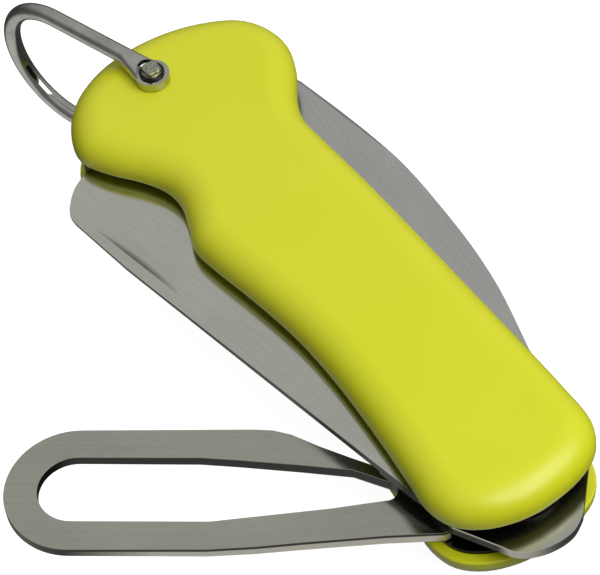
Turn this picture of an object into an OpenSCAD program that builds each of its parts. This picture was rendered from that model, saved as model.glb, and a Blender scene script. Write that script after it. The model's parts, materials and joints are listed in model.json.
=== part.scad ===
// Folding golfer's pocket tool: a knife, a divot fork and a slotted loop share one pivot
// between two moulded scales, and a wire bail swings on a pin through the wide head.
//
// Frame: origin on the flat back of the rear scale, under the pivot axis.
// +X runs along the handle from the pivot to the bail, +Y towards the knife's spine,
// +Z from the rear scale up to the front scale. Lengths are millimetres.
// The tools are drawn closed, along the handle, and turned about the pivot to their rest pose.

/* [Scales] */
// Thickness of each moulded scale
scale_t = 4.4; // [4:0.1:5.2]
// Height of a scale's upright rim, where its rounded edge starts
rim_h = 0.9; // [0.5:0.1:1.6]
// How far the rounded edge reaches in from the outline
edge_inset = 4.6; // [3.5:0.1:4.8]
// Small bevel along the scale's inner rim
rim_bevel = 0.2; // [0.1:0.05:0.3]

/* [Liners and layers] */
// Thickness of each steel liner
liner_t = 0.6; // [0.5:0.1:0.8]
// How far the liners sit in from the scales' outline
liner_inset = 1.4; // [0.8:0.1:1.4]
// Gap between neighbouring tools, which a washer fills
layer_gap = 0.3; // [0.2:0.05:0.5]
// Thickness of the slotted loop
loop_t = 1.8; // [1.4:0.1:2]
// Thickness of the divot fork
fork_t = 1.5; // [1.2:0.1:1.8]
// Thickness of the knife
knife_t = 1.6; // [1.2:0.1:1.8]

/* [Pivot and stop] */
// Radius of the pivot pin's shaft
pivot_r = 2.4; // [2:0.1:2.8]
// Radius of the knife's and the loop's round tang
tang_r = 5.9; // [5.4:0.1:6]
// Radius of the stop pin
stop_r = 1.25; // [1:0.05:1.3]
// Distance of the stop pin from the pivot
stop_orbit = 7.5; // [7.4:0.1:7.8]
// Direction of the stop pin from the pivot, degrees
stop_angle = -80; // [-84:1:-70]

/* [Tools] */
// Length of the knife from the pivot to its tip
knife_len = 76.9; // [70:0.1:77]
// Height of the knife's spine above the handle's centre line
spine_y = 10.9; // [10.5:0.1:12]
// Depth of the knife's cutting edge below the handle's centre line
edge_y = 4.5; // [3.5:0.1:6]
// Length of the divot fork from the pivot to its prong tips
fork_len = 76; // [72:0.1:77]
// Half width of the gap between the fork's prongs
prong_gap = 2.4; // [2:0.1:3]
// Length of the slotted loop from the pivot to its far end
loop_len = 64.6; // [60:0.2:76]
// Half width of the slotted loop
loop_half = 9.1; // [8.5:0.1:9.6]
// Half width of the loop's slot at its wide end
slot_half = 4.8; // [4.4:0.1:5.4]

/* [Bail] */
// Distance of the bail pin from the pivot
bail_x = 79.2; // [79.2:0.1:81]
// Sideways offset of the bail pin
bail_y = 0.5; // [-1:0.1:1]
// Radius of the bail pin
bail_pin_r = 1.2; // [1:0.05:1.2]
// Radius of the bail's wire
wire_r = 1.2; // [1:0.05:1.3]
// Half the distance between the bail's two legs
bail_half = 10.1; // [9.8:0.1:10.8]
// Length of each leg, from the pin to where the round end starts
bail_leg = 17.6; // [13:0.1:20]

/* [Rest pose] */
// How far the knife is open at rest, degrees
knife_open = 8.6; // [0:0.1:20]
// How far the divot fork is open at rest, degrees
fork_open = 9.9; // [0:0.1:20]
// How far the slotted loop is open at rest, degrees
loop_open = 51.3; // [0:0.1:180]
// How far the bail leans towards +Y at rest, degrees
bail_swing = 16.5; // [-90:0.5:90]

/* [Hidden] */

round_fn = 96;                 // fragments of a true circle
nick_fn = 360;                 // fragments of the long shallow arcs of the nail nick
running = 0.05;                // radial clearance of a part that turns on a pin
snug = 0.02;                   // radial clearance of a part that is pressed or riveted in
washer_play = 0.02;            // clearance on each side of a washer
cut = 1;                       // how far a cutter runs past the face it opens

// Layers, from the flat back upwards
rear_liner_z = scale_t;
loop_z = rear_liner_z + liner_t + layer_gap;
fork_z = loop_z + loop_t + layer_gap;
knife_z = fork_z + fork_t + layer_gap;
front_liner_z = knife_z + knife_t + layer_gap;
front_scale_z = front_liner_z + liner_t;
total_t = front_scale_z + scale_t;
mid_z = total_t / 2;

// Handle outline, anticlockwise from the butt: straight-sided grip, waists, bulb head
outline_points = [
    [-7.2, 0.5], [-6.6, -4.6], [-4.8, -8.6], [-1.2, -10.9], [4.5, -11.4], [12, -11.7], [24, -12],
    [36, -12.3], [48, -12.5], [57, -12.4], [62, -12.5], [66, -14.1], [70.3, -17], [74.6, -18.7],
    [79, -18.4], [83, -16.1], [86, -11.4], [87.7, -6.2], [88.2, -0.8], [87.4, 4.8], [85, 9.8],
    [81, 13.4], [76.4, 14.8], [72, 13], [68, 10.4], [64.4, 8.8], [60.8, 8.7], [57, 10.1],
    [53.6, 11.5], [49.5, 11.4], [42, 10.4], [33, 9.6], [24, 9.8], [14, 10.8], [6, 11.9],
    [1.6, 12.5], [-2.2, 11.6], [-5, 8.8], [-6.7, 4.8],
];
outline_steps = 4;             // curve pieces between two outline points
edge_rings = 9;                // rings round a scale's rounded edge

// Pivot pin: a disc head beyond each liner, hidden in a pocket of the scale
pin_head_r = 3.6;
pin_head_t = 0.9;
tension_t = 0.5;
pocket_gap = 0.25;
washer_r = 5.2;

// Tools near the pivot: a shoulder on each side of the tang meets the stop pin
shoulder_r = 7.9;
stop_play = 1.2;               // degrees left between a shoulder and the pin
stop_half = asin(stop_r / stop_orbit) + stop_play;
stop_at = stop_orbit * [cos(stop_angle), sin(stop_angle)];
fork_slot_play = 0.25;         // clearance round the stop pin in the fork's curved slot

// Head: the spacer fills the bulb beyond the reach of the tool tips
head_clear_r = 77.4;
spacer_inset = 0.9;
head_rivet_at = [[82, -10], [82.4, 7.8]];
head_rivet_r = 1;
head_rivet_head_r = 1.8;
head_rivet_head_t = 0.6;

// Flush rivets that hold each scale to its liner
scale_rivet_at = [[17, 0.4], [38, -0.4], [58, 0.2], [71.5, -0.6]];
scale_rivet_r = 0.8;
scale_rivet_head_r = 1.5;
scale_rivet_head_t = 0.3;
scale_rivet_len = 2.4;

// Bail eye, its forged neck and the pin's peened ends
eye_r = 2.4;
eye_t = 1.3;
eye_gap = 0.2;
eye_low = total_t / 2 + eye_gap;
neck_from = 1.2;
neck_half = 1.9;
neck_len = 4.6;
neck_lap = 0.2;
collar_r = 1.75;
collar_t = 0.3;
collar_room = 0.3;
knob_w = 2.2;
knob_r = 1.32;
knob_t = 0.7;

lime = [0.84, 0.87, 0.2];
steel = [0.62, 0.63, 0.6];
bright_steel = [0.78, 0.78, 0.76];
black_steel = [0.33, 0.33, 0.31];

// ---- Curves -----------------------------------------------------------------------------

// A point of the smooth curve through points a, b, c and d, between b and c
function curve_point(a, b, c, d, t) =
    0.5 * (2 * b + (c - a) * t + (2 * a - 5 * b + 4 * c - d) * t * t
        + (3 * b - a - 3 * c + d) * t * t * t);

function closed_curve(p, steps) = let (n = len(p)) [
    for (i = [0 : n - 1], s = [0 : steps - 1])
        curve_point(p[(i + n - 1) % n], p[i], p[(i + 1) % n], p[(i + 2) % n], s / steps)
];

// The same curve with free ends, from the first point to the last
function open_curve(p, steps) = let (n = len(p), last = n - 1) concat([
    for (i = [0 : n - 2], s = [0 : steps - 1])
        curve_point(p[max(i - 1, 0)], p[i], p[i + 1], p[min(i + 2, last)], s / steps)
], [p[last]]);

// Unit vector pointing out of an anticlockwise closed curve at its point i
function outward(q, i) = let (n = len(q), d = q[(i + 1) % n] - q[(i + n - 1) % n])
    [d[1], -d[0]] / norm(d);

function inset_curve(q, by) = [for (i = [0 : len(q) - 1]) q[i] - by * outward(q, i)];

function arc(centre, rx, ry, from, to, steps) = [
    for (s = [0 : steps]) let (a = from + (to - from) * s / steps)
        centre + [rx * cos(a), ry * sin(a)]
];

outline = closed_curve(outline_points, outline_steps);

// ---- Building blocks --------------------------------------------------------------------

module plate(points, z, t) {
    translate([0, 0, z]) linear_extrude(t) polygon(points);
}

module disc(r, z, t) {
    translate([0, 0, z]) cylinder(r = r, h = t, $fn = round_fn);
}

// A hole through a layer that runs past both of its faces
module bore(at, r, z, t) {
    translate([at[0], at[1], z - cut]) cylinder(r = r, h = t + 2 * cut, $fn = round_fn);
}

// Triangles that span a closed ring of n points like the rungs of a ladder
function rungs(n, first) = [for (i = [0 : n / 2 - 2]) each [
    [first + i, first + i + 1, first + n - 1 - i],
    [first + i + 1, first + n - 2 - i, first + n - 1 - i],
]];

// A stack of closed rings, each [inset, height], skinned into one closed shell
module ring_shell(base, rings) {
    n = len(base);
    last = len(rings) - 1;
    polyhedron(
        points = [for (r = rings, p = inset_curve(base, r[0])) [p[0], p[1], r[1]]],
        faces = concat(
            rungs(n, 0),
            [for (f = rungs(n, last * n)) [f[2], f[1], f[0]]],
            [for (k = [0 : last - 1], i = [0 : n - 1]) let (j = (i + 1) % n)
                [k * n + i, (k + 1) * n + i, (k + 1) * n + j]],
            [for (k = [0 : last - 1], i = [0 : n - 1]) let (j = (i + 1) % n)
                [k * n + i, (k + 1) * n + j, k * n + j]]
        ),
        convexity = 6
    );
}

// The round tang of the knife and the loop, with a shoulder that stops at each limit
module tang(z, t) {
    from = stop_angle + stop_half;
    to = stop_angle + 180 - stop_half;
    disc(tang_r, z, t);
    plate(concat([[0, 0]], arc([0, 0], shoulder_r, shoulder_r, from, to, 24)), z, t);
}

module turned(angle) {
    rotate([0, 0, angle]) children();
}

// ---- Handle -----------------------------------------------------------------------------

// One moulded scale with its inner face at height 0 and its rounded face up
module scale_body() {
    rings = concat(
        [[rim_bevel, 0], [0, rim_bevel]],
        [for (k = [0 : edge_rings]) let (a = 90 * k / edge_rings)
            [edge_inset * (1 - cos(a)), rim_h + (scale_t - rim_h) * sin(a)]]
    );
    difference() {
        ring_shell(outline, rings);
        disc(pin_head_r + pocket_gap, -cut, cut + pin_head_t + tension_t + pocket_gap);
        for (at = head_rivet_at) translate(at)
            disc(head_rivet_head_r + pocket_gap, -cut, cut + head_rivet_head_t + pocket_gap);
        for (at = scale_rivet_at) translate(at)
            disc(scale_rivet_r + snug, -cut, cut + scale_rivet_len);
        bore([bail_x, bail_y], bail_pin_r + snug, 0, scale_t);
    }
}

module front_scale() {
    color(lime) translate([0, 0, front_scale_z]) scale_body();
}

module rear_scale() {
    color(lime) translate([0, 0, scale_t]) mirror([0, 0, 1]) scale_body();
}

// A liner with its outer face at height 0 and its inner face, where the tools run, up
module liner_body() {
    difference() {
        plate(inset_curve(outline, liner_inset), 0, liner_t);
        bore([0, 0], pivot_r + snug, 0, liner_t);
        bore(stop_at, stop_r + snug, 0, liner_t);
        bore([bail_x, bail_y], bail_pin_r + snug, 0, liner_t);
        for (at = head_rivet_at) bore(at, head_rivet_r + snug, 0, liner_t);
        for (at = scale_rivet_at) {
            bore(at, scale_rivet_r + snug, 0, liner_t);
            translate(at) disc(scale_rivet_head_r + snug, liner_t - scale_rivet_head_t, cut);
        }
    }
}

module front_liner() {
    color(black_steel) translate([0, 0, front_scale_z]) mirror([0, 0, 1]) liner_body();
}

module rear_liner() {
    color(black_steel) translate([0, 0, rear_liner_z]) liner_body();
}

module head_spacer() {
    z = rear_liner_z + liner_t;
    t = front_liner_z - z;
    color(steel) difference() {
        plate(inset_curve(outline, spacer_inset), z, t);
        bore([0, 0], head_clear_r, z, t);
        bore([bail_x, bail_y], bail_pin_r + snug, z, t);
        for (at = head_rivet_at) bore(at, head_rivet_r + snug, z, t);
    }
}

module head_rivets() {
    low = rear_liner_z - head_rivet_head_t;
    high = front_scale_z;
    color(steel) for (at = head_rivet_at) translate(at) {
        disc(head_rivet_r, low, high + head_rivet_head_t - low);
        disc(head_rivet_head_r, low, head_rivet_head_t);
        disc(head_rivet_head_r, high, head_rivet_head_t);
    }
}

// Rivets with their flush heads at height 0 and their shanks up into the scale
module scale_rivet_set() {
    for (at = scale_rivet_at) translate(at) {
        disc(scale_rivet_head_r, 0, scale_rivet_head_t);
        disc(scale_rivet_r, 0, liner_t + scale_rivet_len - pocket_gap);
    }
}

module front_scale_rivets() {
    color(steel) translate([0, 0, front_liner_z]) scale_rivet_set();
}

module rear_scale_rivets() {
    color(steel) translate([0, 0, rear_liner_z + liner_t]) mirror([0, 0, 1]) scale_rivet_set();
}

// ---- Pivot ------------------------------------------------------------------------------

module pivot_pin() {
    low = rear_liner_z - tension_t - pin_head_t;
    color(steel) {
        disc(pivot_r, low, front_scale_z + pin_head_t - low);
        disc(pin_head_r, low, pin_head_t);
        disc(pin_head_r, front_scale_z, pin_head_t);
    }
}

// A spring washer under the rear head keeps the stack tight
module tension_washer() {
    z = rear_liner_z - tension_t;
    color(bright_steel) difference() {
        disc(pin_head_r - pocket_gap, z, tension_t);
        bore([0, 0], pivot_r + snug, z, tension_t);
    }
}

module washer_below(z) {
    color(bright_steel) difference() {
        disc(washer_r, z - layer_gap + washer_play, layer_gap - 2 * washer_play);
        bore([0, 0], pivot_r + snug, z - layer_gap, layer_gap);
    }
}

module rear_washer() {
    washer_below(loop_z);
}

module fork_washer() {
    washer_below(fork_z);
}

module knife_washer() {
    washer_below(knife_z);
}

module front_washer() {
    washer_below(front_liner_z);
}

module stop_pin() {
    color(steel) translate(stop_at) disc(stop_r, rear_liner_z, front_scale_z - rear_liner_z);
}

// ---- Knife ------------------------------------------------------------------------------

tip_edge_x = 68;               // where the cutting edge starts to curve up to the tip
tip_y = 3;                     // height of the tip's foremost point
tip_points = [[0, tip_y], [1, 6.1], [2.5, 8.3], [4.2, 9.9], [6, 10.4]];
choil_x = 15;                  // where the ground edge starts
grind_top = 1.6;               // where the grind meets the flat side
grind_rise = 0.1;              // how far the upper side falls to the cutting edge
edge_t = 0.2;                  // thickness left at the cutting edge
knife_root_t = 1.15;           // thickness of the spine where the blade leaves the tang
knife_tip_t = 0.35;            // thickness of the spine at the tip
nick_x = 59.8;
nick_y = 9.2;
nick_len = 19;
nick_depth = 0.3;
nick_lean = 18;                // slope of the nick's floor, degrees

module knife_blade() {
    plate(concat(
        [[choil_x, -edge_y]],
        arc([tip_edge_x, tip_y], knife_len - tip_edge_x, tip_y + edge_y, -90, -8, 12),
        open_curve([for (p = tip_points) [knife_len - p[0], p[1]]], 3),
        [[60, spine_y], [6.5, spine_y], [3.4, spine_y - 0.5], [1.4, spine_y - 1.8], [0.4, 7.8],
            [0, 0], [4.6, -5.2], [8, -5.4], [choil_x - 2.2, -3.4], [choil_x - 0.8, -3.3]]
    ), knife_z, knife_t);
}

// Takes the rear of a plate away, from from_t thick at x0 to to_t thick at x1
module rear_taper(x0, x1, top, from_t, to_t) {
    reach = 2 * spine_y;
    translate([0, reach, top]) rotate([90, 0, 0]) linear_extrude(2 * reach)
        polygon([[x0, -from_t], [x1 + cut, -to_t - cut * (to_t - from_t) / (x1 - x0)],
            [x1 + cut, -reach], [x0, -reach]]);
}

// Wedges that take both sides of the blade to the cutting edge
module grind() {
    past = 2;
    depth = grind_top + edge_y;
    foot = -edge_y - past;
    upper = grind_rise / depth;
    lower = (knife_root_t - grind_rise - edge_t) / depth;
    translate([choil_x, 0, knife_z + knife_t]) rotate([90, 0, 90]) linear_extrude(knife_len) {
        polygon([[grind_top, 0], [foot, -upper * (depth + past)], [foot, cut], [grind_top, cut]]);
        polygon([[grind_top, -knife_root_t], [foot, lower * (depth + past) - knife_root_t],
            [foot, -knife_t - cut], [grind_top, -knife_t - cut]]);
    }
}

// A crescent nick, deepest along its straight side, where a fingernail catches the blade
module nail_nick() {
    r = nick_len * nick_len / (8 * nick_depth);
    translate([nick_x, nick_y, knife_z + knife_t - nick_depth]) rotate([90 - nick_lean, 0, 0])
        translate([0, r, 0]) cylinder(r = r, h = nick_len / 2, $fn = nick_fn);
}

module turf_knife() {
    color(steel) turned(knife_open) difference() {
        union() {
            tang(knife_z, knife_t);
            knife_blade();
        }
        bore([0, 0], pivot_r + running, knife_z, knife_t);
        rear_taper(choil_x - 2, knife_len, knife_z + knife_t, knife_root_t, knife_tip_t);
        grind();
        nail_nick();
    }
}

// ---- Divot fork -------------------------------------------------------------------------

// Outer edge of the prong on the -Y side, from the tang towards the tip
prong_edge = [[17, -11], [22, -11.7], [28, -12.4], [36, -12.6], [45, -12.1], [52, -11.4],
    [59, -10.1], [66, -8.3], [74, -5.8]];
// Edge of the gap between the prongs, from the tip back to its root
gap_edge = [[74, -prong_gap], [66, -prong_gap], [57, -3.8], [47, -4.6], [37, -4.3], [30, -2.8],
    [27.8, -1]];
prong_tip_r = 1.4;
prong_tip_y = prong_gap + prong_tip_r;
// The tang's wedge: a round nose, with a heel out to the -Y prong and a shoulder to the +Y one
nose = [[-7.8, 6.2], [-9.4, 4.9], [-10.4, 2.6], [-10.6, 0], [-10, -2.6], [-8.4, -4.7]];
heel = [[-3, -8.4], [-0.5, -10.1], [6, -10.6]];
shoulder = [[6, 10.6], [-2.4, 10.2]];
bevel_from = [58, -10];
bevel_to = [76, -4.8];
bevel_angle = 32;

module fork_blank() {
    prong = concat(
        open_curve(prong_edge, 3),
        arc([fork_len - prong_tip_r, -prong_tip_y], prong_tip_r, prong_tip_r, -70, 80, 8),
        open_curve(gap_edge, 3)
    );
    other = [for (i = [len(prong) - 1 : -1 : 0]) [prong[i][0], -prong[i][1]]];
    plate(concat(open_curve(nose, 3), heel, prong, other, shoulder), fork_z, fork_t);
}

// Thins the outer top edge of the prong on the -Y side, towards its tip
module prong_bevel() {
    run = bevel_to - bevel_from;
    past = 10;
    translate([bevel_from[0], bevel_from[1], fork_z + fork_t])
        rotate([0, 0, atan2(run[1], run[0])]) rotate([bevel_angle, 0, 0])
            translate([-past, -past, 0]) cube([norm(run) + 2 * past, past, past]);
}

// Curved slot that clears the stop pin through half a turn
module stop_slot() {
    half = stop_r + fork_slot_play;
    turned(stop_angle) translate([0, 0, fork_z - cut]) {
        rotate_extrude(angle = 180, $fn = round_fn)
            translate([stop_orbit - half, 0]) square([2 * half, fork_t + 2 * cut]);
        for (side = [-1, 1]) translate([side * stop_orbit, 0, 0])
            cylinder(r = half, h = fork_t + 2 * cut, $fn = round_fn);
    }
}

module divot_fork() {
    color(steel) turned(-fork_open) difference() {
        fork_blank();
        bore([0, 0], pivot_r + running, fork_z, fork_t);
        stop_slot();
        prong_bevel();
        mirror([0, 1, 0]) prong_bevel();
    }
}

// ---- Slotted loop -----------------------------------------------------------------------

loop_root_x = 10;              // where the loop starts to thin
loop_end_t = 1.4;              // thickness at the loop's far end
slot_end = [16.2, 0.4];
slot_end_r = 1.45;
slot_upper = [[38, 4.9], [31.7, 4.1], [23, 3]];
slot_lower = [[20.5, -2.75], [27, -3.5], [35, -4.3], [40, -4.7]];
loop_upper = [[38, 9.1], [32, 8.7], [26.5, 8.1], [16, 7.1], [8.8, 6.7], [8, 6.3], [7.2, 5]];
loop_lower = [[4.8, -5.2], [7.5, -5.6], [12, -3.5], [16.3, -2.8], [20.9, -4.7], [24.8, -6.4],
    [28.6, -8.3], [31, -8.95], [33.5, -9.1]];

module loop_tool() {
    far = [loop_len - loop_half, 0];
    color(steel) turned(loop_open) difference() {
        union() {
            tang(loop_z, loop_t);
            plate(concat(arc(far, loop_half, loop_half, -90, 90, 36), loop_upper, [[0, 0]],
                loop_lower), loop_z, loop_t);
        }
        bore([0, 0], pivot_r + running, loop_z, loop_t);
        plate(concat(arc(far, slot_half, slot_half, -90, 90, 24), slot_upper,
            arc(slot_end, slot_end_r, slot_end_r, 90, 270, 12), slot_lower),
            loop_z - cut, loop_t + 2 * cut);
        rear_taper(loop_root_x, loop_len, loop_z + loop_t, loop_t, loop_end_t);
    }
}

// ---- Bail -------------------------------------------------------------------------------

// One leg above the handle's mid plane: a flat eye on the pin, a forged neck, straight wire
module bail_side() {
    difference() {
        union() {
            disc(eye_r, eye_low, eye_t);
            hull() {
                translate([neck_from, 0, eye_low]) cylinder(r = neck_half, h = eye_t, $fn = 32);
                translate([neck_len, 0, bail_half]) rotate([0, 90, 0])
                    cylinder(r = wire_r, h = neck_lap, $fn = 32);
            }
            translate([neck_len, 0, bail_half]) rotate([0, 90, 0])
                cylinder(r = wire_r, h = bail_leg - neck_len, $fn = round_fn);
        }
        bore([0, 0], bail_pin_r + running, eye_low, eye_t);
        disc(collar_r + collar_room, eye_low + eye_t, 2 * wire_r);
    }
}

module bail() {
    color(bright_steel) translate([bail_x, bail_y, mid_z]) turned(bail_swing) {
        bail_side();
        mirror([0, 0, 1]) bail_side();
        translate([bail_leg, 0, 0]) rotate([90, 0, 0]) turned(-90)
            rotate_extrude(angle = 180, $fn = round_fn)
                translate([bail_half, 0]) circle(r = wire_r, $fn = 48);
    }
}

// The pin's peened end: a round collar under a squarish knob
module pin_end(z) {
    disc(collar_r, z, collar_t);
    translate([0, 0, z + collar_t]) intersection() {
        translate([-knob_w / 2, -knob_w / 2, 0]) cube([knob_w, knob_w, knob_t]);
        cylinder(r = knob_r, h = knob_t, $fn = round_fn);
    }
}

module bail_pin() {
    half = eye_low + eye_t + washer_play;
    color(bright_steel) translate([bail_x, bail_y, mid_z]) {
        disc(bail_pin_r, -half, 2 * half);
        pin_end(half);
        mirror([0, 0, 1]) pin_end(half);
    }
}

front_scale();
rear_scale();
front_liner();
rear_liner();
turf_knife();
divot_fork();
loop_tool();
pivot_pin();
tension_washer();
front_washer();
knife_washer();
fork_washer();
rear_washer();
stop_pin();
head_spacer();
head_rivets();
front_scale_rivets();
rear_scale_rivets();
bail();
bail_pin();
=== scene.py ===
"""Folding golfer's pocket tool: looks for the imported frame.

Lengths are metres in the frame's own axes: +X from the tools' pivot to the bail, +Y the side the
knife and the loop open to, +Z from the rear scale to the front scale.
"""

import json
import math

import bmesh
import bpy
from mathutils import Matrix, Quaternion, Vector

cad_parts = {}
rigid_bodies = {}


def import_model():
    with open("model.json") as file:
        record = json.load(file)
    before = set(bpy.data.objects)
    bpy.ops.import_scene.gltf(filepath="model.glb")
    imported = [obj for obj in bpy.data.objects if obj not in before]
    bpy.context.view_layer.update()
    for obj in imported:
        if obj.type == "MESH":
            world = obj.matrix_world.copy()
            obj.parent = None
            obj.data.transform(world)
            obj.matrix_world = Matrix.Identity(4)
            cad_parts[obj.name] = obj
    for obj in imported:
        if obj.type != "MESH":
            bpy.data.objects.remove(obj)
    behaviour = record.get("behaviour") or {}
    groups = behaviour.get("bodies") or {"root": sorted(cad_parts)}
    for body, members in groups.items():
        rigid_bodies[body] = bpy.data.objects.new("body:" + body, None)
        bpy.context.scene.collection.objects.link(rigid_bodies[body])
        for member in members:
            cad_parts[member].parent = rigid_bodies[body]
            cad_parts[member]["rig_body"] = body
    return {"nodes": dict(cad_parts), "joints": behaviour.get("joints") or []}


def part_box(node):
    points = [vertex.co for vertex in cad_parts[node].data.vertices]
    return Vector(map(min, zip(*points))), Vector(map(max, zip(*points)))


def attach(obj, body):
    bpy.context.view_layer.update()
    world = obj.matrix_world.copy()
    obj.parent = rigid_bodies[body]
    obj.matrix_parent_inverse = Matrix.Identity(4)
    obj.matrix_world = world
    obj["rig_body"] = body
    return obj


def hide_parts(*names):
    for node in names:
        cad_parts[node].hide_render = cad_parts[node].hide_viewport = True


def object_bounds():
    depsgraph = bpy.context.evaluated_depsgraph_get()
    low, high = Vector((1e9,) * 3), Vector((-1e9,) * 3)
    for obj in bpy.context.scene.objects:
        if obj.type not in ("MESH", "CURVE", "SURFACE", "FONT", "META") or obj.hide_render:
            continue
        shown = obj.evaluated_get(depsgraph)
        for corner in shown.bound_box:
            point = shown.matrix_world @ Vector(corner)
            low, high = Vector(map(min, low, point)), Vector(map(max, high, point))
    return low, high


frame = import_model()
cad_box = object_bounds()

MM = 0.001
NODES = frame["nodes"]

# Camera: where it looks, from which side, how far away and how it is rolled
AIM = Vector((39.8, 4.25, 11.7)) * MM
VIEW_AZIMUTH = 150.8
VIEW_ELEVATION = 51.0
VIEW_ROLL = -8.0
VIEW_DISTANCE = 360 * MM
LENS = 166.3
SENSOR = 36.0

# How far each tool is turned about +Z at rest, so that its grain runs along it. A tool lies along
# +X when it is folded, which is at the low end of its joint, or at the high end for the fork.
RANGES = {joint["name"]: joint["range_deg"] for joint in frame["joints"]}
REST_ANGLE = {
    "turf_knife": -RANGES["knife_hinge"][0],
    "divot_fork": -RANGES["fork_hinge"][1],
    "loop_tool": -RANGES["loop_hinge"][0],
}


# ---- Shader helpers -------------------------------------------------------------------------

# A noise mostly stays between these two values
NOISE_LOW = 0.3
NOISE_HIGH = 0.7


class Shader:
    """A node material under construction: one Principled shader and short calls that add nodes."""

    def __init__(self, name, **inputs):
        self.material = bpy.data.materials.new(name)
        self.material.use_nodes = True
        self.tree = self.material.node_tree
        self.principled = self.tree.nodes["Principled BSDF"]
        for socket, value in inputs.items():
            self.principled.inputs[socket.replace("_", " ")].default_value = value
        self.place = self.add("ShaderNodeTexCoord").outputs["Object"]

    def add(self, kind, inputs=None, **settings):
        node = self.tree.nodes.new(kind)
        for key, value in settings.items():
            setattr(node, key, value)
        for key, value in (inputs or {}).items():
            self.feed(node.inputs[key], value)
        return node

    def feed(self, socket, value):
        if isinstance(value, bpy.types.NodeSocket):
            self.tree.links.new(value, socket)
        else:
            socket.default_value = value

    def out(self, socket, value):
        self.feed(self.principled.inputs[socket], value)

    def scaled(self, scale, turn=0.0):
        """Coordinates turned by -turn degrees about +Z, then stretched."""
        turned = self.add("ShaderNodeVectorRotate", {"Vector": self.place, "Axis": (0, 0, 1),
                                                     "Angle": -math.radians(turn)})
        return self.add("ShaderNodeVectorMath", {0: turned.outputs[0], 1: scale},
                        operation="MULTIPLY").outputs[0]

    def noise(self, vector, detail=3.0, rough=0.5):
        return self.add("ShaderNodeTexNoise", {"Vector": vector, "Scale": 1.0, "Detail": detail,
                                               "Roughness": rough}).outputs["Fac"]

    def math(self, operation, a, b=0.0, c=0.0):
        node = self.add("ShaderNodeMath", {0: a, 1: b, 2: c}, operation=operation)
        return node.outputs[0]

    def range(self, value, low, high, to_low, to_high):
        node = self.add("ShaderNodeMapRange", {"Value": value, "From Min": low, "From Max": high,
                                               "To Min": to_low, "To Max": to_high})
        return node.outputs["Result"]

    def swing(self, noise, amount):
        """A noise as an offset from -amount to amount."""
        return self.range(noise, NOISE_LOW, NOISE_HIGH, -amount, amount)

    def mix(self, factor, a, b):
        node = self.add("ShaderNodeMix", data_type="RGBA")
        self.feed(node.inputs[0], factor)
        self.feed(node.inputs[6], a)
        self.feed(node.inputs[7], b)
        return node.outputs[2]

    def bump(self, height, strength, distance):
        node = self.add("ShaderNodeBump", {"Height": height, "Strength": strength,
                                           "Distance": distance})
        self.out("Normal", node.outputs["Normal"])

    def height(self):
        return self.add("ShaderNodeSeparateXYZ", {0: self.place}).outputs["Z"]

    def wall_mask(self):
        """1 on surfaces that stand upright, such as a plate's cut edge, and 0 on flat faces."""
        normal = self.add("ShaderNodeNewGeometry").outputs["True Normal"]
        local = self.add("ShaderNodeVectorTransform", {"Vector": normal}, vector_type="NORMAL",
                         convert_from="WORLD", convert_to="OBJECT").outputs[0]
        z = self.add("ShaderNodeSeparateXYZ", {0: local}).outputs["Z"]
        return self.range(self.math("ABSOLUTE", z), 0.3, 0.6, 1.0, 0.0)

    def sunk_mask(self, top, depth):
        """0 on the upper face at height top and on the underside, rising to 1 down at depth."""
        height = self.height()
        down = self.range(height, top - depth, top - 0.05 * depth, 1.0, 0.0)
        upper = self.range(height, top - 1.4 * depth, top - 1.3 * depth, 0.0, 1.0)
        return self.math("MULTIPLY", down, upper)


def rgb(red, green, blue):
    return (red, green, blue, 1.0)


# ---- Materials ------------------------------------------------------------------------------

LIME = rgb(0.64, 0.675, 0.012)
LIME_WARM = rgb(0.67, 0.68, 0.022)
SPECK = rgb(0.30, 0.32, 0.01)
# Painted highlight: a pale line along the front scale's rim at the height of its flat inner face
RIM_HIGHLIGHT = rgb(0.93, 0.90, 0.62)
PALE_DEPTH = 0.45 * MM
# Painted shade: near-black on the steel's cut walls and round the bail pin's knob, standing in for
# shadow and dark reflections
PAINTED_SHADE = rgb(0.035, 0.034, 0.030)
# Painted highlight: a light tone for stretches of the fork's and the loop's cut walls, standing in
# for reflections
PAINTED_LIGHT = rgb(0.56, 0.54, 0.46)
# How much rougher a plate's cut walls are than its faces
WALL_ROUGHER = 0.15
# Painted shade for the floor of the knife's nail nick, darker as it deepens
NICK_SHADE = rgb(0.10, 0.10, 0.085)
KNIFE_FACE = rgb(0.57, 0.58, 0.51)
FORK_FACE = rgb(0.54, 0.54, 0.52)
LOOP_FACE = rgb(0.45, 0.46, 0.39)
PIN_FACE = rgb(0.50, 0.50, 0.47)
# Near-black liners, as painted shade in the gaps between the scales and the tools
LINER_FACE = rgb(0.09, 0.09, 0.08)
BAIL_BRIGHT = rgb(0.52, 0.52, 0.48)
BAIL_WORN = rgb(0.40, 0.40, 0.36)
PEEN_BRIGHT = rgb(0.60, 0.60, 0.52)
PEEN_DARK = rgb(0.28, 0.28, 0.22)
BRASS_BRIGHT = rgb(0.62, 0.44, 0.16)
BRASS_DARK = rgb(0.44, 0.30, 0.11)

# Texture cells per metre. On ground plate the first number runs along the grain.
CLOUD_CELLS = (28, 28, 28)
MOTTLE_CELLS = (900, 900, 900)
SPECK_CELLS = (55, 55, 55)
GRAIN_CELLS = (90, 2600, 2600)
PIT_CELLS = (1500, 3600, 3600)
WEAR_CELLS = (70, 110, 110)
SMUDGE_CELLS = (420, 420, 420)
DENT_CELLS = (2600, 2600, 2600)

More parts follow.
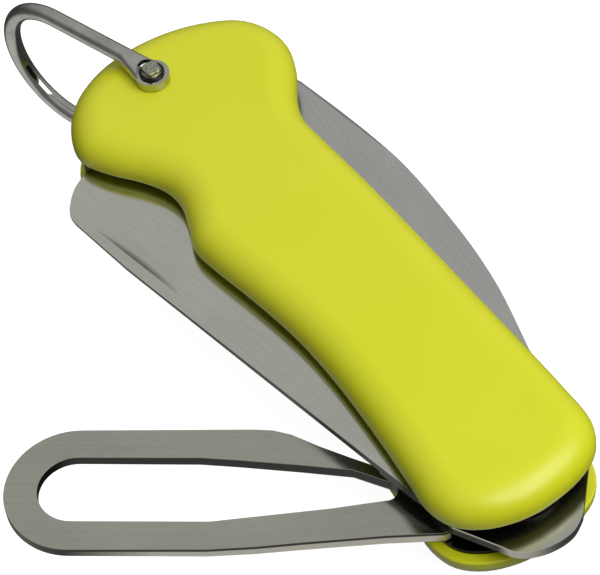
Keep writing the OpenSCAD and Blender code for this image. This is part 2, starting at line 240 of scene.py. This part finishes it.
# The loop's long outer wall in the loop's own axes: how far out it lies, where its painted light
# stretch starts and ends, and the depth of the painted dark line above that stretch
LOOP_WALL_OUT = 5.0 * MM
LOOP_WALL_FROM = 7 * MM
LOOP_WALL_TO = 44 * MM
LOOP_LINE = 0.4 * MM
# Depth of the fork's painted highlight line under its upper face
FORK_LINE = 0.2 * MM
# How far either line takes to fade out below that
LINE_FADE = 0.15 * MM
# Where the wall round the end of the fork's tang turns to painted light, in the fork's own axes,
# and over what distance to each side
TANG_END = -8.0 * MM
TANG_FADE = 0.6 * MM


def lime_plastic(name, parting=None):
    """Moulded plastic: faint clouds, fine mottle and a few dark specks.

    parting is the height of the moulding's flat inner face, where a pale line is painted on the rim
    as a highlight.
    """
    s = Shader(name, Roughness=0.33, IOR=1.45)
    cloud = s.noise(s.scaled(CLOUD_CELLS), detail=2.0)
    mottle = s.noise(s.scaled(MOTTLE_CELLS), detail=2.0)
    base = s.mix(s.range(cloud, 0.35, 0.65, 0.0, 1.0), LIME, LIME_WARM)
    specks = s.add("ShaderNodeTexVoronoi", {"Vector": s.scaled(SPECK_CELLS), "Scale": 1.0})
    dot = s.range(specks.outputs["Distance"], 0.008, 0.016, 0.7, 0.0)
    base = s.mix(dot, base, SPECK)
    # A painted highlight line on the rim's upright wall at the parting height
    if parting is not None:
        away = s.math("ABSOLUTE", s.math("SUBTRACT", s.height(), parting))
        line = s.range(away, 0.12 * MM, PALE_DEPTH, 1.0, 0.0)
        base = s.mix(s.math("MULTIPLY", line, s.wall_mask()), base, RIM_HIGHLIGHT)
    s.out("Base Color", base)
    s.out("Roughness", s.range(mottle, NOISE_LOW, NOISE_HIGH, 0.28, 0.38))
    s.bump(mottle, 0.12, 0.02 * MM)
    return s.material


def plate_steel(name, turn, face, walls, roughness, grain_depth=0.08, sunk=None):
    """Ground plate: grain along the piece, cloudy wear, and cut walls with painted shade and
    painted highlights.

    walls is called with the shader and gives the painted tones of the upright surfaces. sunk is the
    height and depth of a nick in the upper face, whose floor is painted darker as it deepens, as
    shade.
    """
    s = Shader(name, Metallic=1.0)
    grain = s.noise(s.scaled(GRAIN_CELLS, turn), detail=3.0)
    pits = s.noise(s.scaled(PIT_CELLS, turn), detail=2.0)
    wear = s.noise(s.scaled(WEAR_CELLS, turn), detail=3.0)
    tone = s.math("ADD", s.swing(grain, 0.04), s.swing(wear, 0.05))
    tone = s.math("ADD", tone, s.swing(pits, 0.03))
    value = s.add("ShaderNodeHueSaturation", {"Color": face, "Value": s.math("ADD", tone, 1.0)})
    surface = value.outputs[0]
    # Painted shade: the nick's floor darkens with depth
    if sunk:
        surface = s.mix(s.sunk_mask(*sunk), surface, NICK_SHADE)
    # The upright walls take painted shade and painted highlights from walls
    wall = s.wall_mask()
    s.out("Base Color", s.mix(wall, surface, walls(s)))
    rough = s.math("ADD", s.swing(grain, 0.02), s.swing(wear, 0.03))
    rough = s.math("ADD", rough, roughness)
    s.out("Roughness", s.math("MULTIPLY_ADD", wall, WALL_ROUGHER, rough))
    s.bump(grain, grain_depth, 0.01 * MM)
    return s.material


# Cut walls painted near-black, as shade and dark reflection
def shaded_walls(s):
    return PAINTED_SHADE


def fork_walls(turn, top):
    """Painted shade on the walls under a thin painted highlight line, and painted light on the wall
    round the tang's end.
    """
    def walls(s):
        along = s.add("ShaderNodeSeparateXYZ", {0: s.scaled((1, 1, 1), turn)})
        z = along.outputs["Z"]
        line = s.range(z, top - FORK_LINE - LINE_FADE, top - FORK_LINE, 0.0, 1.0)
        end = s.range(along.outputs["X"], TANG_END - TANG_FADE, TANG_END + TANG_FADE, 0.85, 0.0)
        # Painted shade below, painted highlight on the line and round the tang's end
        return s.mix(s.math("MAXIMUM", line, end), PAINTED_SHADE, PAINTED_LIGHT)
    return walls


def loop_walls(turn, top):
    """Painted shade on the walls, but the long outer wall that faces the camera is painted light,
    as a reflection, under a painted dark line.

    The stretches are fixed to the loop and stay where they are when it or the camera turns.
    """
    def walls(s):
        along = s.add("ShaderNodeSeparateXYZ", {0: s.scaled((1, 1, 1), turn)})
        x = along.outputs["X"]
        outer = s.range(along.outputs["Y"], LOOP_WALL_OUT, LOOP_WALL_OUT + 0.4 * MM, 0.0, 1.0)
        before_end = s.range(x, LOOP_WALL_TO, LOOP_WALL_TO + 12 * MM, 1.0, 0.0)
        past_start = s.range(x, LOOP_WALL_FROM, LOOP_WALL_FROM + 2 * MM, 0.0, 1.0)
        straight = s.math("MULTIPLY", before_end, past_start)
        below = s.range(along.outputs["Z"], top - LOOP_LINE - LINE_FADE, top - LOOP_LINE, 1.0, 0.0)
        light = s.math("MULTIPLY", s.math("MULTIPLY", outer, straight), below)
        # Painted shade on the walls, painted reflection on the outer wall's stretch
        return s.mix(light, PAINTED_SHADE, PAINTED_LIGHT)
    return walls


def polished_steel():
    s = Shader("polished_steel", Metallic=1.0)
    wear = s.noise(s.scaled(SMUDGE_CELLS), detail=4.0)
    s.out("Base Color", s.mix(s.range(wear, 0.35, 0.7, 0.0, 1.0), BAIL_BRIGHT, BAIL_WORN))
    s.out("Roughness", s.range(wear, NOISE_LOW, NOISE_HIGH, 0.06, 0.14))
    s.bump(wear, 0.05, 0.03 * MM)
    return s.material


def peened_steel(axis, knob):
    """Hammered knob, with a painted dark shadow ring on the collar round it. axis is the pin's x
    and y.
    """
    s = Shader("peened_steel", Metallic=1.0)
    dents = s.add("ShaderNodeTexVoronoi", {"Vector": s.scaled(DENT_CELLS), "Scale": 1.0})
    tone = s.range(dents.outputs["Distance"], 0.1, 0.7, 0.0, 1.0)
    metal = s.mix(tone, PEEN_BRIGHT, PEEN_DARK)
    flat = s.add("ShaderNodeVectorMath", {0: s.place, 1: (1, 1, 0)},
                 operation="MULTIPLY").outputs[0]
    reach = s.add("ShaderNodeVectorMath", {0: flat, 1: (axis[0], axis[1], 0)},
                  operation="DISTANCE").outputs["Value"]
    # Painted shadow ring round the knob
    ring = s.range(reach, knob - 0.05 * MM, knob + 0.08 * MM, 0.0, 1.0)
    s.out("Base Color", s.mix(ring, metal, PAINTED_SHADE))
    s.out("Roughness", s.range(tone, 0.0, 1.0, 0.2, 0.4))
    s.bump(tone, 0.5, 0.06 * MM)
    return s.material


def washer_brass():
    s = Shader("washer_brass", Metallic=1.0)
    spin = s.noise(s.scaled(MOTTLE_CELLS), detail=3.0)
    s.out("Base Color", s.mix(spin, BRASS_BRIGHT, BRASS_DARK))
    s.out("Roughness", s.range(spin, NOISE_LOW, NOISE_HIGH, 0.25, 0.42))
    s.bump(spin, 0.1, 0.01 * MM)
    return s.material


# ---- Pieces ---------------------------------------------------------------------------------

# Faces that meet at less than FLAT_ANGLE degrees are merged, and edges sharper than EDGE_ANGLE are
# bevelled or kept crisp. Points closer than MERGE are one point.
FLAT_ANGLE = 0.3
EDGE_ANGLE = 28.0
MERGE = 0.001 * MM
SCALE_EDGE = 0.06 * MM
LINER_EDGE = 0.05 * MM
LOOP_EDGE = 0.08 * MM
# Short edges on the loop would limit its bevel, so points this close are merged too
LOOP_MERGE = 0.05 * MM
PIN_EDGE = 0.15 * MM
KNOB_RADIUS = 1.32 * MM
NICK_DEPTH = 0.3 * MM


def carry(node, material):
    """Gives a CAD node that stays as it is its material."""
    for place in NODES[node].material_slots:
        place.material = material


def refine(node, material, edge=0.0, weld=MERGE):
    """A smooth-shaded piece of its own that stands for a CAD node.

    The CAD node keeps its mesh, because all the work is on a copy. Edges are bevelled to the width
    given, or less where there is no room for it. With no width they stay crisp.
    """
    mesh = bpy.data.meshes.new(node + "_refined")
    shape = bmesh.new()
    shape.from_mesh(NODES[node].data)
    bmesh.ops.remove_doubles(shape, verts=shape.verts, dist=MERGE)
    bmesh.ops.dissolve_limit(shape, angle_limit=math.radians(FLAT_ANGLE), verts=shape.verts,
                             edges=shape.edges)
    bmesh.ops.remove_doubles(shape, verts=shape.verts, dist=weld)
    for face in shape.faces:
        face.smooth = True
    for seam in shape.edges:
        seam.smooth = edge > 0 or seam.calc_face_angle(0) < math.radians(EDGE_ANGLE)
    shape.to_mesh(mesh)
    shape.free()
    # The copy's own imported normals and flat faces would override its smooth shading
    for name in ("custom_normal", "sharp_face"):
        if name in mesh.attributes:
            mesh.attributes.remove(mesh.attributes[name])
    mesh.materials.clear()
    mesh.materials.append(material)
    piece = bpy.data.objects.new(node + "_refined", mesh)
    bpy.context.scene.collection.objects.link(piece)
    if edge > 0:
        soft = piece.modifiers.new("soft_edge", "BEVEL")
        soft.width = edge
        soft.segments = 2
        soft.limit_method = "ANGLE"
        soft.angle_limit = math.radians(EDGE_ANGLE)
        soft.use_clamp_overlap = True
    shade = piece.modifiers.new("shade", "WEIGHTED_NORMAL")
    shade.mode = "FACE_AREA"
    shade.keep_sharp = True
    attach(piece, NODES[node]["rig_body"])
    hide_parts(node)
    return piece


def top_of(node):
    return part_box(node)[1].z


def scales():
    front = lime_plastic("front_lime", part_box("front_scale")[0].z)
    refine("front_scale", front, SCALE_EDGE)
    refine("rear_scale", lime_plastic("rear_lime"), SCALE_EDGE)


def liners():
    # The liners' near-black face is painted shade for the gaps they sit in
    steel = plate_steel("liner_steel", 0.0, LINER_FACE, shaded_walls, 0.2)
    for node in ("front_liner", "rear_liner"):
        refine(node, steel, LINER_EDGE)


def tools():
    """The knife, the fork and the loop, which are the flat plates."""
    turn, top = REST_ANGLE["turf_knife"], top_of("turf_knife")
    knife = plate_steel("knife_steel", turn, KNIFE_FACE, shaded_walls, 0.12, 0.05,
                        sunk=(top, NICK_DEPTH))
    turn, top = REST_ANGLE["divot_fork"], top_of("divot_fork")
    fork = plate_steel("fork_steel", turn, FORK_FACE, fork_walls(turn, top), 0.22, 0.05)
    turn, top = REST_ANGLE["loop_tool"], top_of("loop_tool")
    loop = plate_steel("loop_steel", turn, LOOP_FACE, loop_walls(turn, top), 0.19, 0.16)
    return [
        refine("turf_knife", knife),
        refine("divot_fork", fork),
        refine("loop_tool", loop, LOOP_EDGE, LOOP_MERGE),
    ]


def bail_and_pin():
    refine("bail", polished_steel())
    low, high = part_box("bail_pin")
    middle = (low + high) / 2
    refine("bail_pin", peened_steel((middle.x, middle.y), KNOB_RADIUS), PIN_EDGE)


def fittings():
    steel = plate_steel("pin_steel", 0.0, PIN_FACE, shaded_walls, 0.25)
    for node in ("pivot_pin", "tension_washer", "stop_pin", "head_spacer", "head_rivets",
                 "front_scale_rivets", "rear_scale_rivets"):
        carry(node, steel)
    brass = washer_brass()
    for node in ("front_washer", "knife_washer", "fork_washer", "rear_washer"):
        carry(node, brass)


# ---- Stage, light and camera ----------------------------------------------------------------

FLOOR_DROP = 0.1 * MM
FLOOR_HALF = 3.0
PAPER_TONE = 0.35
PAPER_GLOW = 0.93


def plane(name, drop, material):
    mesh = bpy.data.meshes.new(name)
    shape = bmesh.new()
    bmesh.ops.create_grid(shape, x_segments=1, y_segments=1, size=FLOOR_HALF)
    shape.to_mesh(mesh)
    shape.free()
    mesh.materials.append(material)
    piece = bpy.data.objects.new(name, mesh)
    piece.location.z = cad_box[0][2] - drop
    bpy.context.scene.collection.objects.link(piece)
    return piece


def floor():
    """Pale paper, and a black card just under it that keeps bounced light off the plastic."""
    paper = Shader("floor_paper", Roughness=0.9)
    paper.out("Base Color", rgb(PAPER_TONE, PAPER_TONE, PAPER_TONE))
    paper.out("Emission Color", rgb(1, 1, 1))
    paper.out("Emission Strength", PAPER_GLOW)
    sheet = plane("floor", FLOOR_DROP, paper.material)
    sheet.visible_diffuse = False
    sheet.visible_glossy = False
    black = Shader("card_black", Roughness=1.0)
    black.out("Base Color", rgb(0, 0, 0))
    black.out("Specular IOR Level", 0.0)
    card = plane("card", 2 * FLOOR_DROP, black.material)
    card.visible_camera = False
    card.visible_glossy = False


def direction(azimuth, elevation):
    a, e = math.radians(azimuth), math.radians(elevation)
    return Vector((math.cos(a) * math.cos(e), math.sin(a) * math.cos(e), math.sin(e)))


def softbox(name, azimuth, elevation, distance, size, power, pieces, state):
    """An area light that lights only the pieces given, or all but them with state EXCLUDE."""
    light = bpy.data.lights.new(name, "AREA")
    light.shape = "RECTANGLE"
    light.size, light.size_y = size
    light.energy = power
    lamp = bpy.data.objects.new(name, light)
    toward = direction(azimuth, elevation)
    lamp.location = AIM + toward * distance
    lamp.rotation_mode = "QUATERNION"
    lamp.rotation_quaternion = toward.to_track_quat("Z", "Y")
    bpy.context.scene.collection.objects.link(lamp)
    lit = bpy.data.collections.new(name + "_pieces")
    for piece in pieces:
        lit.objects.link(piece)
    for member in lit.collection_objects:
        member.light_linking.link_state = state
    lamp.light_linking.receiver_collection = lit


# Each patch of light round the object: azimuth, elevation, cosine where it starts, cosine where
# it is full, and brightness. The first is the ceiling that the flat steel faces mirror, the second
# lights upright walls from below, and the third keeps the steel from going black in low views.
PATCHES = [
    (-50, 62, 0.05, 0.85, 0.48),
    (105, -51, 0.55, 0.90, 0.60),
    (100, 15, 0.10, 0.95, 0.13),
]
ROOM = 0.07
KEY_AZIMUTH = 205
KEY_ELEVATION = 52
KEY_DISTANCE = 0.6
KEY_SIZE = (0.5, 0.4)
KEY_POWER = 3.0
# Flat steel would mirror the key as a white sheet from some sides, so the knife, the fork and the
# loop get only this share of it
PLATE_SHARE = 0.14


def studio(plates):
    """A dim room with patches of soft light, and one broad key from beyond the butt."""
    world = bpy.data.worlds.new("studio")
    world.use_nodes = True
    tree = world.node_tree
    place = tree.nodes.new("ShaderNodeTexCoord").outputs["Generated"]
    total = None
    for azimuth, elevation, start, full, level in PATCHES:
        near = tree.nodes.new("ShaderNodeVectorMath")
        near.operation = "DOT_PRODUCT"
        tree.links.new(place, near.inputs[0])
        near.inputs[1].default_value = direction(azimuth, elevation)
        glow = tree.nodes.new("ShaderNodeMapRange")
        glow.interpolation_type = "SMOOTHSTEP"
        tree.links.new(near.outputs["Value"], glow.inputs["Value"])
        glow.inputs["From Min"].default_value = start
        glow.inputs["From Max"].default_value = full
        glow.inputs["To Max"].default_value = level
        add = tree.nodes.new("ShaderNodeMath")
        tree.links.new(glow.outputs["Result"], add.inputs[0])
        if total is None:
            add.inputs[1].default_value = ROOM
        else:
            tree.links.new(total, add.inputs[1])
        total = add.outputs[0]
    background = tree.nodes["Background"]
    tree.links.new(total, background.inputs["Strength"])
    background.inputs["Color"].default_value = rgb(1, 1, 1)
    bpy.context.scene.world = world
    key = (KEY_AZIMUTH, KEY_ELEVATION, KEY_DISTANCE, KEY_SIZE)
    softbox("key", *key, KEY_POWER, plates, "EXCLUDE")
    softbox("key_plates", *key, PLATE_SHARE * KEY_POWER, plates, "INCLUDE")


def camera():
    data = bpy.data.cameras.new("camera")
    data.lens = LENS
    data.sensor_width = SENSOR
    data.clip_start = 0.01
    eye = bpy.data.objects.new("camera", data)
    toward = direction(VIEW_AZIMUTH, VIEW_ELEVATION)
    eye.location = AIM + toward * VIEW_DISTANCE
    eye.rotation_mode = "QUATERNION"
    roll = Quaternion((0, 0, 1), math.radians(VIEW_ROLL))
    eye.rotation_quaternion = toward.to_track_quat("Z", "Y") @ roll
    bpy.context.scene.collection.objects.link(eye)
    bpy.context.scene.camera = eye


scales()
liners()
plates = tools()
bail_and_pin()
fittings()
floor()
studio(plates)
camera()
bpy.context.scene.view_settings.view_transform = "Standard"
